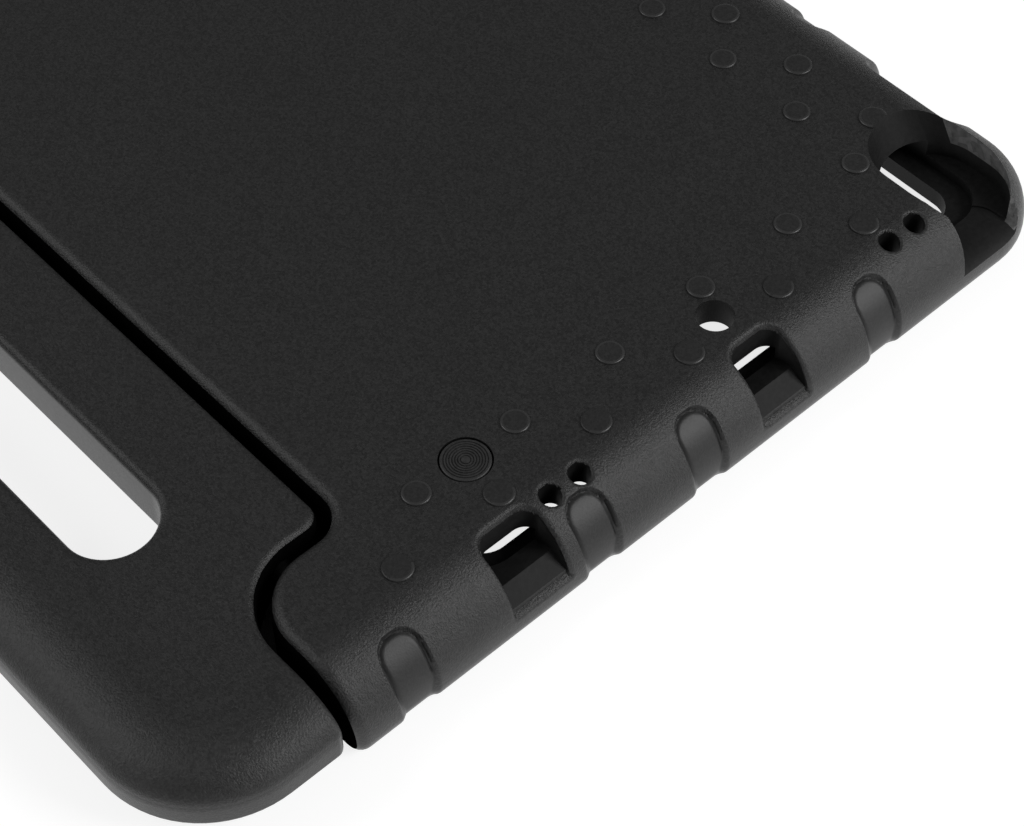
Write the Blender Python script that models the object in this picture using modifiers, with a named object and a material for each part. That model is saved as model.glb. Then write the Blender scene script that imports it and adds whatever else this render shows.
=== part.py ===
"""Foam carry case for a 10.2 inch tablet, lying on its front lip with its back up.

World frame in metres. X runs along the long side, Y from the carry handle to the far long side and
Z from the front lip, at z = 0, up to the back of the case. The origin is the middle of the whole
case, handle included, at the level of the front lip.
"""

import math

import bmesh
import bpy
from mathutils import Matrix, Vector

# Tablet that the bay is made for
TABLET_LENGTH = 0.2506
TABLET_WIDTH = 0.1741
TABLET_THICKNESS = 0.0075
TABLET_CORNER = 0.010
BAY_CLEARANCE = 0.0005

# Walls of the case
LIP_THICKNESS = 0.0080
BACK_WALL = 0.0080
SIDE_WALL = 0.0124
FAR_WALL = 0.0144
HINGE_WALL = 0.0157
LIP_OVERLAP = 0.0050
WINDOW_CORNER = 0.007
WINDOW_FLARE = 0.003
FRONT_ROUND = 0.0055
CASE_CORNER = 0.0225

# Groove between case and handle
GROOVE_WIDTH = 0.0032
GROOVE_ROUND = 0.0032
TONGUE_LENGTH = 0.0302
EAR_WIDTH = 0.0412
TONGUE_TIP_ROUND = 0.0065
EAR_ROUND = 0.018

# Handle
HANDLE_THICKNESS = 0.0160
HANDLE_REACH = 0.0455
HANDLE_CORNER = 0.0285
HANDLE_ROUND_WIDTH = 0.016
HANDLE_ROUND_DROP = 0.0105
HANDLE_FRONT_ROUND = 0.0025
SLOT_WIDTH = 0.0227
SLOT_HALF_LENGTH = 0.0732
SLOT_FROM_EDGE = 0.0274
SLOT_ROUND = 0.0022

# Ledge of each ear that the closed handle rests on
TOE_REACH = 0.007
TOE_GAP = 0.0003
TOE_FROM_SIDE = 0.009
TOE_FROM_AXIS = 0.002

# Hinge pins
PIN_RADIUS = 0.003
PIN_LENGTH = 0.024
PIN_IN_HANDLE = 0.0105
SEAT_GAP = 0.0003

# Channels that run over the rounded sides
CHANNEL_WIDTH = 0.0115
CHANNEL_DEPTH = 0.0012
CHANNEL_START = 0.0104
CHANNEL_FOOT = 0.005
CHANNEL_END = 0.9
EAR_CHANNEL_FROM_AXIS = 0.0045
SIDE_CHANNEL_PLACES = (-0.0596, -0.0248, 0.0355)
FAR_CHANNEL_PLACE = 0.0545
KEY_RECESS_DEPTH = 0.0028
KEY_RECESS_LENGTH = 0.0325
KEY_RECESS_FROM_BAY_END = 0.0333

# Raised discs on the back
DISC_HEIGHT = 0.0004
INNER_DISC_RADIUS = 0.0036
OUTER_DISC_RADIUS = 0.0048
DISC_PITCH = 0.0303
DISC_PITCH_FAR = 0.0264
ROW_SPACING = 0.0127
INNER_ROW_FROM_BAY_END = 0.0212
FIRST_DISC_FROM_BAY_SIDE = 0.0005
INNER_DISCS = 5
OUTER_DISC_STAGGER = 0.544
FAR_ROW_FROM_BAY_SIDE = 0.0235
FAR_DISCS = 7
FAR_OUTER_SHIFT = 0.0016
CORNER_DISC_FROM_BAY = (0.0239, 0.0260)

# Round openings in the back
CENTRE_HOLE_RADIUS = 0.0049
CENTRE_HOLE_FROM_BAY_END = 0.0125
SMALL_HOLE_RADIUS = 0.00275
SMALL_HOLE_FROM_BAY_END = 0.0009
SMALL_HOLES_FROM_HINGE_SIDE = (0.0230, 0.0321)
SMALL_HOLES_FROM_FAR_SIDE = (0.0385, 0.0294)
SMALL_HOLE_DEPTH = 0.012
PLUG_RADIUS = 0.0062
PLUG_THICKNESS = 0.004
PLUG_CHAMFER = 0.0004
PLUG_FROM_BAY = (0.0208, 0.0151)

# Notches in the short sides
NOTCH_INSIDE_BAY = 0.0030
NOTCH_DEPTH = 0.0125
NOTCH_SLOPE = 0.14
NOTCH_CORNER = 0.006
JACK_FROM_BAY_SIDE = 0.0093
JACK_WIDTH = 0.0165
MICROPHONE_PLACE = 0.0012
MICROPHONE_WIDTH = 0.0150
PORT_WIDTH = 0.0180
SPEAKER_PLACE = 0.0420
SPEAKER_WIDTH = 0.0260

# Opening over the camera corner of the tablet
CAMERA_PAST_BAY = (0.0094, 0.0049)
CAMERA_INSIDE_BAY = (0.0248, 0.0236)
CAMERA_CORNER = 0.014
CAMERA_BEVEL = 0.005
CAMERA_LEDGE = 0.0110
KEY_NOTCH_FROM_BAY_SIDE = (0.0211, 0.0026)
KEY_NOTCH_DEPTH = 0.0135
KEY_NOTCH_CORNER = 0.007

ARC_STEPS = 8
EDGE_STEPS = 7
FILLET_STEPS = 3

# Sizes that follow from the ones above
THICKNESS = LIP_THICKNESS + TABLET_THICKNESS + BAY_CLEARANCE + BACK_WALL
BACK_ROUND = THICKNESS - FRONT_ROUND
BAY_HALF_LENGTH = TABLET_LENGTH / 2 + BAY_CLEARANCE
BAY_HALF_WIDTH = TABLET_WIDTH / 2 + BAY_CLEARANCE
HALF_LENGTH = BAY_HALF_LENGTH + SIDE_WALL
FAR_EDGE = BAY_HALF_WIDTH + FAR_WALL
TIP_LINE = -BAY_HALF_WIDTH - HINGE_WALL - GROOVE_WIDTH / 2
EAR_LINE = TIP_LINE - TONGUE_LENGTH
HANDLE_EDGE = EAR_LINE - HANDLE_REACH
BAY_Y = -(FAR_EDGE + HANDLE_EDGE) / 2
AXIS_Y = (TIP_LINE + EAR_LINE) / 2
AXIS_Z = THICKNESS - HANDLE_THICKNESS / 2
HANDLE_BOTTOM = THICKNESS - HANDLE_THICKNESS
BAY_TOP = THICKNESS - BACK_WALL
TONGUE_HALF_WIDTH = HALF_LENGTH - EAR_WIDTH
SIDE_CHANNELS = (AXIS_Y + EAR_CHANNEL_FROM_AXIS, *SIDE_CHANNEL_PLACES)
REACH = 2 * THICKNESS


def arc(centre_x, centre_y, radius, start, end, steps=ARC_STEPS):
    """Points of an arc, angles in degrees, both ends included."""
    angles = [math.radians(start + (end - start) * step / steps) for step in range(steps + 1)]
    return [(centre_x + radius * math.cos(a), centre_y + radius * math.sin(a)) for a in angles]


def rounded_rectangle(x_low, x_high, y_low, y_high, radius, steps=ARC_STEPS):
    """Outline of a rectangle with round corners, counter-clockwise."""
    corners = (
        (x_high - radius, y_low + radius, -90),
        (x_high - radius, y_high - radius, 0),
        (x_low + radius, y_high - radius, 90),
        (x_low + radius, y_low + radius, 180),
    )
    points = []
    for x, y, start in corners:
        points += arc(x, y, radius, start, start + 90, steps)
    return points


def case_outline(inset):
    """Outer outline of the case, moved inwards by the inset and too long at the handle's end."""
    half = HALF_LENGTH - inset
    return rounded_rectangle(-half, half, EAR_LINE - REACH, FAR_EDGE - inset, CASE_CORNER - inset)


def handle_outline(inset):
    """Outer outline of the handle, moved inwards by the inset and too long at the case's end."""
    half = HALF_LENGTH - inset
    return rounded_rectangle(-half, half, HANDLE_EDGE + inset, TIP_LINE + REACH, HANDLE_CORNER - inset)


def groove_line(offset):
    """Middle line of the groove from left to right, moved towards the case by the offset."""
    right = arc(
        TONGUE_HALF_WIDTH - TONGUE_TIP_ROUND, TIP_LINE - TONGUE_TIP_ROUND, TONGUE_TIP_ROUND + offset, 90, 0
    )
    right += arc(TONGUE_HALF_WIDTH + EAR_ROUND, EAR_LINE + EAR_ROUND, EAR_ROUND - offset, 180, 270)
    right.append((HALF_LENGTH + REACH, EAR_LINE + offset))
    return [(-x, y) for x, y in reversed(right)] + right


def stack(rings):
    """Closed mesh through a stack of outlines, each a list of points with its height."""
    mesh = bmesh.new()
    layers = [[mesh.verts.new((x, y + BAY_Y, z)) for x, y in outline] for outline, z in rings]
    for lower, upper in zip(layers, layers[1:]):
        for index in range(len(lower)):
            after = (index + 1) % len(lower)
            mesh.faces.new((lower[index], lower[after], upper[after], upper[index]))
    mesh.faces.new(list(reversed(layers[0])))
    mesh.faces.new(layers[-1])
    bmesh.ops.recalc_face_normals(mesh, faces=mesh.faces)
    return mesh


def prism(outline, low, high):
    """Straight prism over an outline."""
    return stack([(outline, low), (outline, high)])


def back_edge(width, drop):
    """Insets and heights of the rounded side up to the back, a quarter of an ellipse."""
    angles = [math.pi / 2 * step / EDGE_STEPS for step in range(EDGE_STEPS + 1)]
    return [(width * (1 - math.cos(a)), THICKNESS - drop * (1 - math.sin(a))) for a in angles]


def front_edge(low, radius):
    """Insets and heights of the small rounding at the front."""
    angles = [math.pi / 2 * step / FILLET_STEPS for step in range(FILLET_STEPS)]
    return [(radius * (1 - math.sin(a)), low + radius * (1 - math.cos(a))) for a in angles]


def case_block(grown=0.0):
    """The whole rounded block, moved outwards along its surface by a small amount."""
    rings = []
    front = (front_edge(0.0, FRONT_ROUND), FRONT_ROUND)
    back = (back_edge(BACK_ROUND, BACK_ROUND), BACK_ROUND)
    for edge, radius in (front, back):
        scale = (radius + grown) / radius
        for inset, height in edge:
            outline = case_outline(inset * scale - grown)
            rings.append((outline, FRONT_ROUND + (height - FRONT_ROUND) * scale))
    return stack(rings)


def link(mesh, name, collection):
    """New object from a bmesh, in a collection."""
    data = bpy.data.meshes.new(name)
    mesh.to_mesh(data)
    mesh.free()
    thing = bpy.data.objects.new(name, data)
    collection.objects.link(thing)
    return thing


def cutter(mesh, name):
    """Helper solid that is not part of the case."""
    thing = link(mesh, name, cutters)
    thing.display_type = "WIRE"
    thing.hide_render = True
    return thing


def combine(thing, other, operation="DIFFERENCE"):
    """Boolean modifier that stays on its object."""
    modifier = thing.modifiers.new(other.name, "BOOLEAN")
    modifier.operation = operation
    modifier.solver = "EXACT"
    modifier.object = other
    return modifier


def merged(meshes):
    """One bmesh of several closed solids that stay apart."""
    joined = bmesh.new()
    for mesh in meshes:
        data = bpy.data.meshes.new("solid")
        mesh.to_mesh(data)
        mesh.free()
        joined.from_mesh(data)
        bpy.data.meshes.remove(data)
    return joined


def material(name, colour, roughness):
    """Plain dark foam or pin material."""
    finish = bpy.data.materials.new(name)
    finish.use_nodes = True
    shader = finish.node_tree.nodes["Principled BSDF"]
    shader.inputs["Base Color"].default_value = (*colour, 1.0)
    shader.inputs["Roughness"].default_value = roughness
    shader.inputs["Metallic"].default_value = 0.0
    return finish


def groove_cut(side):
    """Solid that trims the case (side 1) or the handle (side -1) back to its wall of the groove."""
    line = groove_line(side * GROOVE_WIDTH / 2)
    far = HANDLE_EDGE - 2 * REACH if side > 0 else TIP_LINE + 2 * REACH
    outline = line + [(line[-1][0], far), (line[0][0], far)]
    return prism(outline, -REACH, THICKNESS + REACH)


def toe(side):
    """Ledge at the foot of an ear, under the shoulder of the closed handle."""
    inner = TONGUE_HALF_WIDTH - GROOVE_WIDTH / 2 + 2 * TOE_GAP
    outer = HALF_LENGTH - TOE_FROM_SIDE
    low, high = (inner, outer) if side > 0 else (-outer, -inner)
    outline = rounded_rectangle(
        low, high, EAR_LINE - TOE_REACH, AXIS_Y - TOE_FROM_AXIS, FRONT_ROUND, FILLET_STEPS
    )
    return prism(outline, FRONT_ROUND / 2, HANDLE_BOTTOM - TOE_GAP)


def round_edges(thing, width):
    """Soft rounding on the sharp edges of a moulding."""
    bevel = thing.modifiers.new("soft edges", "BEVEL")
    bevel.width = width
    bevel.segments = FILLET_STEPS
    bevel.limit_method = "ANGLE"
    bevel.angle_limit = math.radians(50)
    bevel.use_clamp_overlap = True
    return bevel


def pill(x_low, x_high, y_low, y_high, radius):
    """Outline with round corners for a slot or channel."""
    return rounded_rectangle(x_low, x_high, y_low, y_high, radius, FILLET_STEPS)


def channel_columns():
    """Upright columns over each channel."""
    half = CHANNEL_WIDTH / 2
    columns = []
    inner = HALF_LENGTH - CHANNEL_START
    outer = HALF_LENGTH + REACH
    for y in SIDE_CHANNELS:
        for low, high in ((inner, outer), (-outer, -inner)):
            outline = pill(low, high, y - half, y + half, half * CHANNEL_END)
            columns.append(prism(outline, CHANNEL_FOOT, THICKNESS + REACH))
    for x in (-FAR_CHANNEL_PLACE, FAR_CHANNEL_PLACE):
        outline = pill(x - half, x + half, FAR_EDGE - CHANNEL_START, FAR_EDGE + REACH, half * CHANNEL_END)
        columns.append(prism(outline, CHANNEL_FOOT, THICKNESS + REACH))
    return merged(columns)


def key_recess_column():
    """Upright column over the shallow recess for the volume keys."""
    half = KEY_RECESS_LENGTH / 2
    middle = BAY_HALF_LENGTH - KEY_RECESS_FROM_BAY_END
    inner = FAR_EDGE - CHANNEL_START
    outline = pill(middle - half, middle + half, inner, FAR_EDGE + REACH, CHANNEL_WIDTH / 2)
    return prism(outline, CHANNEL_FOOT, THICKNESS + REACH)


def disc_places():
    """Centre and radius of each raised disc."""
    places = []
    inner_x = BAY_HALF_LENGTH - INNER_ROW_FROM_BAY_END
    outer_x = inner_x + ROW_SPACING
    first = FIRST_DISC_FROM_BAY_SIDE - BAY_HALF_WIDTH
    corner_x = BAY_HALF_LENGTH - CORNER_DISC_FROM_BAY[0]
    corner_y = BAY_HALF_WIDTH - CORNER_DISC_FROM_BAY[1]
    for side in (-1, 1):
        for index in range(INNER_DISCS):
            places.append((side * inner_x, first + index * DISC_PITCH, INNER_DISC_RADIUS))
        for index in range(INNER_DISCS + 1):
            y = first + (index - OUTER_DISC_STAGGER) * DISC_PITCH
            places.append((side * outer_x, y, OUTER_DISC_RADIUS))
        places.append((side * corner_x, corner_y, INNER_DISC_RADIUS))
    inner_y = BAY_HALF_WIDTH - FAR_ROW_FROM_BAY_SIDE
    for index in range(FAR_DISCS):
        places.append(((index - (FAR_DISCS - 1) / 2) * DISC_PITCH_FAR, inner_y, INNER_DISC_RADIUS))
    for index in range((FAR_DISCS + 1) // 2):
        x = (index + 0.5) * DISC_PITCH_FAR + FAR_OUTER_SHIFT
        places += [(side * x, inner_y + ROW_SPACING, OUTER_DISC_RADIUS) for side in (-1, 1)]
    return places


def circle(x, y, radius, steps=16):
    """Outline of a circle."""
    return arc(x, y, radius, 0, 360 * (steps - 1) / steps, steps - 1)


def disc_columns():
    """Upright columns over each raised disc."""
    low = THICKNESS - BACK_WALL / 2
    places = disc_places()
    return merged([prism(circle(x, y, radius), low, THICKNESS + REACH) for x, y, radius in places])


def notch(centre, width, side):
    """Port notch in a short side, its floor falling towards the outside."""
    inner = BAY_HALF_LENGTH - NOTCH_INSIDE_BAY
    outer = HALF_LENGTH + REACH
    half = width / 2
    low, high = (inner, outer) if side > 0 else (-outer, -inner)
    outline = rounded_rectangle(low, high, centre - half, centre + half, NOTCH_CORNER, FILLET_STEPS + 1)
    floor = [(x, y, THICKNESS - NOTCH_DEPTH - (abs(x) - inner) * NOTCH_SLOPE) for x, y in outline]
    return sloped_prism(floor, THICKNESS + REACH)


def sloped_prism(floor, top):
    """Prism whose floor points each have their own height, all in one plane."""
    mesh = bmesh.new()
    lower = [mesh.verts.new((x, y + BAY_Y, z)) for x, y, z in floor]
    upper = [mesh.verts.new((x, y + BAY_Y, top)) for x, y, z in floor]
    for index in range(len(lower)):
        after = (index + 1) % len(lower)
        mesh.faces.new((lower[index], lower[after], upper[after], upper[index]))
    mesh.faces.new(list(reversed(lower)))
    mesh.faces.new(upper)
    bmesh.ops.recalc_face_normals(mesh, faces=mesh.faces)
    return mesh


def x_cylinder(x_low, x_high, radius, steps=24):
    """Cylinder along X on the hinge axis."""
    mesh = bmesh.new()
    bmesh.ops.create_cone(
        mesh, cap_ends=True, segments=steps, radius1=radius, radius2=radius, depth=x_high - x_low
    )
    turn = Vector((0, 0, 1)).rotation_difference(Vector((1, 0, 0))).to_matrix()
    bmesh.ops.rotate(mesh, verts=mesh.verts, cent=(0, 0, 0), matrix=turn)
    bmesh.ops.translate(mesh, verts=mesh.verts, vec=((x_low + x_high) / 2, AXIS_Y + BAY_Y, AXIS_Z))
    return mesh


def pin_span(side):
    """Ends of a hinge pin along X."""
    inner = TONGUE_HALF_WIDTH - GROOVE_WIDTH / 2 - PIN_IN_HANDLE
    return (inner, inner + PIN_LENGTH) if side > 0 else (-inner - PIN_LENGTH, -inner)


def pin_hole(side):
    """Hole for a hinge pin, in the tongue and in the ear."""
    low, high = pin_span(side)
    return x_cylinder(low - SEAT_GAP, high + SEAT_GAP, PIN_RADIUS + SEAT_GAP)


def camera_opening():
    """Opening over the camera corner, with one wide slanted side."""
    x_low, x_high = BAY_HALF_LENGTH - CAMERA_INSIDE_BAY[0], BAY_HALF_LENGTH + CAMERA_PAST_BAY[0]
    y_low, y_high = BAY_HALF_WIDTH - CAMERA_INSIDE_BAY[1], BAY_HALF_WIDTH + CAMERA_PAST_BAY[1]
    rings = []
    levels = ((0, CAMERA_LEDGE), (0, BAY_TOP), (1, THICKNESS), (2, THICKNESS + BACK_WALL))
    for slant, height in levels:
        low = x_low - slant * CAMERA_BEVEL
        rings.append((rounded_rectangle(low, x_high, y_low, y_high, CAMERA_CORNER), height))
    return stack(rings)


def key_notch():
    """Side opening for the power key, next to the camera opening."""
    inner = BAY_HALF_LENGTH - NOTCH_INSIDE_BAY
    low, high = [BAY_HALF_WIDTH - place for place in KEY_NOTCH_FROM_BAY_SIDE]
    outline = rounded_rectangle(inner, HALF_LENGTH + REACH, low, high, KEY_NOTCH_CORNER, FILLET_STEPS)
    floor = [(x, y, THICKNESS - KEY_NOTCH_DEPTH) for x, y in outline]
    return sloped_prism(floor, THICKNESS + REACH)


def window():
    """Screen opening in the front, flared towards the front."""
    half_x = TABLET_LENGTH / 2 - LIP_OVERLAP
    half_y = TABLET_WIDTH / 2 - LIP_OVERLAP
    rings = []
    levels = ((2 * WINDOW_FLARE, -WINDOW_FLARE), (0.0, WINDOW_FLARE), (0.0, LIP_THICKNESS + BAY_CLEARANCE))
    for grown, height in levels:
        outline = rounded_rectangle(
            -half_x - grown, half_x + grown, -half_y - grown, half_y + grown, WINDOW_CORNER + grown
        )
        rings.append((outline, height))
    return stack(rings)


def build_case():
    """The main moulding."""
    body = link(case_block(), "case_body", parts)
    combine(body, cutter(groove_cut(1), "groove on the case side"))
    round_edges(body, GROOVE_ROUND)
    combine(body, cutter(merged([toe(-1), toe(1)]), "toes of the ears"), "UNION")
    channel = cutter(channel_columns(), "channel floor columns")
    combine(channel, cutter(case_block(-CHANNEL_DEPTH), "core under the channels"))
    combine(body, channel)
    recess = cutter(key_recess_column(), "key recess column")
    combine(recess, cutter(case_block(-KEY_RECESS_DEPTH), "core under the key recess"))
    combine(body, recess)
    discs = cutter(disc_columns(), "disc columns")
    combine(discs, cutter(case_block(DISC_HEIGHT), "skin over the discs"), "INTERSECT")
    combine(body, discs, "UNION")
    bay_outline = rounded_rectangle(
        -BAY_HALF_LENGTH, BAY_HALF_LENGTH, -BAY_HALF_WIDTH, BAY_HALF_WIDTH, TABLET_CORNER
    )
    combine(body, cutter(prism(bay_outline, LIP_THICKNESS, BAY_TOP), "tablet bay"))
    combine(body, cutter(window(), "screen window"))
    for index, (centre, width, side) in enumerate(notches()):
        combine(body, cutter(notch(centre, width, side), f"notch {index}"))
    combine(body, cutter(camera_opening(), "camera opening"))
    combine(body, cutter(key_notch(), "power key notch"))
    combine(body, cutter(merged(round_openings()), "round openings"))
    combine(body, cutter(merged([pin_hole(-1), pin_hole(1)]), "pin holes in the ears"))
    body.data.materials.append(foam)
    return body


def round_openings():
    """Cutters of the centre hole, the small holes and the seat of the plug."""
    above = THICKNESS + REACH
    centre = circle(BAY_HALF_LENGTH - CENTRE_HOLE_FROM_BAY_END, 0.0, CENTRE_HOLE_RADIUS, 24)
    holes = [prism(centre, BAY_TOP - BAY_CLEARANCE, above)]
    places = [place - BAY_HALF_WIDTH for place in SMALL_HOLES_FROM_HINGE_SIDE]
    places += [BAY_HALF_WIDTH - place for place in SMALL_HOLES_FROM_FAR_SIDE]
    for y in places:
        outline = circle(BAY_HALF_LENGTH - SMALL_HOLE_FROM_BAY_END, y, SMALL_HOLE_RADIUS)
        holes.append(prism(outline, THICKNESS - SMALL_HOLE_DEPTH, above))
    seat = circle(*plug_place(), PLUG_RADIUS + SEAT_GAP, 32)
    holes.append(prism(seat, THICKNESS - PLUG_THICKNESS - SEAT_GAP, above))
    return holes


def plug_place():
    """Centre of the blanking plug."""
    return BAY_HALF_LENGTH - PLUG_FROM_BAY[0], PLUG_FROM_BAY[1] - BAY_HALF_WIDTH


def notches():
    """Centre, width and side of each port notch."""
    right = [(JACK_FROM_BAY_SIDE - BAY_HALF_WIDTH, JACK_WIDTH, 1), (MICROPHONE_PLACE, MICROPHONE_WIDTH, 1)]
    left = [(0.0, PORT_WIDTH, -1)]
    left += [(side * SPEAKER_PLACE, SPEAKER_WIDTH, -1) for side in (-1, 1)]
    return right + left


def build_handle():
    """The carry handle with its tongue between the ears."""
    edge = front_edge(HANDLE_BOTTOM, HANDLE_FRONT_ROUND) + [(0.0, HANDLE_BOTTOM + HANDLE_FRONT_ROUND)]
    edge += back_edge(HANDLE_ROUND_WIDTH, HANDLE_ROUND_DROP)
    handle = link(stack([(handle_outline(inset), height) for inset, height in edge]), "handle", parts)
    combine(handle, cutter(groove_cut(-1), "groove on the handle side"))
    low = HANDLE_EDGE + SLOT_FROM_EDGE
    outline = rounded_rectangle(
        -SLOT_HALF_LENGTH, SLOT_HALF_LENGTH, low, low + SLOT_WIDTH, SLOT_WIDTH / 2
    )
    combine(handle, cutter(prism(outline, -REACH, THICKNESS + REACH), "hand slot"))
    round_edges(handle, SLOT_ROUND)
    combine(handle, cutter(merged([pin_hole(-1), pin_hole(1)]), "pin holes in the tongue"))
    handle.data.materials.append(foam)
    return handle


def build_pins():
    """Two hinge pins."""
    pins = []
    for name, side in (("hinge_pin_left", -1), ("hinge_pin_right", 1)):
        pin = link(x_cylinder(*pin_span(side), PIN_RADIUS), name, parts)
        pin.data.materials.append(pin_plastic)
        pins.append(pin)
    return pins


def build_plug():
    """Round insert that closes a hole in the back."""
    x, y = plug_place()
    low = THICKNESS - PLUG_THICKNESS
    plug = link(stack([
        (circle(x, y, PLUG_RADIUS, 32), low),
        (circle(x, y, PLUG_RADIUS, 32), THICKNESS - PLUG_CHAMFER),
        (circle(x, y, PLUG_RADIUS - PLUG_CHAMFER, 32), THICKNESS),
    ]), "blanking_plug", parts)
    plug.data.materials.append(foam)
    return plug


def hang_on_hinge(moving):
    """Empty on the hinge axis that carries the moving pieces, which keep their places."""
    hinge = bpy.data.objects.new("handle hinge", None)
    hinge.empty_display_size = PIN_LENGTH
    hinge.location = (0.0, AXIS_Y + BAY_Y, AXIS_Z)
    parts.objects.link(hinge)
    for thing in moving:
        thing.parent = hinge
        thing.matrix_parent_inverse = Matrix.Translation(-hinge.location)


for leftover in list(bpy.data.objects):
    bpy.data.objects.remove(leftover)
parts = bpy.data.collections.new("kids tablet case")
cutters = bpy.data.collections.new("cutters")
bpy.context.scene.collection.children.link(parts)
bpy.context.scene.collection.children.link(cutters)
foam = material("black foam", (0.018, 0.018, 0.018), 0.6)
pin_plastic = material("dark plastic", (0.02, 0.02, 0.02), 0.4)

case = build_case()
handle = build_handle()
pins = build_pins()
plug = build_plug()
hang_on_hinge([handle, *pins])
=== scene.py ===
"""Looks of a foam carry case for a tablet, lying back up on a pale table.

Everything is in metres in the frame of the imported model: X along the long side, Y from the carry
handle to the far long side, Z up from the table. Sizes of the mouldings repeat those of the solids.
"""

import logging
import math
from dataclasses import dataclass
from enum import Enum, IntEnum
from typing import Callable, Iterable, Sequence

import bpy
from mathutils import Matrix, Vector


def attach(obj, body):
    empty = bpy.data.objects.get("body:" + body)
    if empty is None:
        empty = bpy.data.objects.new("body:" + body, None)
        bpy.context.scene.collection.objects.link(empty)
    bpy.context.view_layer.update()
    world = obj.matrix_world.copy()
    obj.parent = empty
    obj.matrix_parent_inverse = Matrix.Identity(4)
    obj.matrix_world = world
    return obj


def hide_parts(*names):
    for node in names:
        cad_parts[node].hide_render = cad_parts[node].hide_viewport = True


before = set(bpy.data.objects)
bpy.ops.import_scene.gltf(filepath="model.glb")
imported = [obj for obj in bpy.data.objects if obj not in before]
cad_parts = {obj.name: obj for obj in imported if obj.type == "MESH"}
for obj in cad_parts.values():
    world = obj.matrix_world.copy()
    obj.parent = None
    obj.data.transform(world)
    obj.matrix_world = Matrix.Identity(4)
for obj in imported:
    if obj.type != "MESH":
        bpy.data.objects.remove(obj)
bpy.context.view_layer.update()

LOG = logging.getLogger("tablet_case")

MM = 0.001

Box = tuple[float, float, float]
EdgeTest = Callable[[Vector, Vector], bool]
FaceTest = Callable[[Vector, Vector], bool]


class Skin(IntEnum):
    """Surfaces of the mouldings, in the order of their material slots."""

    PEBBLED = 0
    SMOOTH = 1
    WALL = 2
    # Painted shade: faces deep in the hinge groove, drawn plain black.
    GROOVE = 3
    # Painted highlight: the paler rim of each raised disc.
    RIM = 4
    # Painted light: the paler wall of the hand slot.
    SLOT = 5
    # Painted light: the paler far wall of the camera opening.
    CUT = 6


class Join(Enum):
    """Ways to combine two closed solids."""

    CUT = "DIFFERENCE"
    ADD = "UNION"
    KEEP_COMMON = "INTERSECT"


def deselect_all() -> None:
    """Leave no object selected."""
    for thing in bpy.context.selected_objects:
        thing.select_set(False)


def make_active(thing: bpy.types.Object) -> None:
    """Select one object alone and make it active.

    Args:
        thing: The object to work on.
    """
    deselect_all()
    thing.select_set(True)
    bpy.context.view_layer.objects.active = thing


def extrude(move: Box) -> None:
    """Extrude the selected faces.

    Args:
        move: Distance and direction of the new faces from the old ones.
    """
    bpy.ops.mesh.extrude_region_move(TRANSFORM_OT_translate={"value": move})


def soft_step(value: float) -> float:
    """Smooth rise from 0 at 0 to 1 at 1.

    Args:
        value: Any number.

    Returns:
        The share, from 0 to 1.
    """
    clipped = min(1.0, max(0.0, value))
    return clipped * clipped * (3.0 - 2.0 * clipped)


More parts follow.
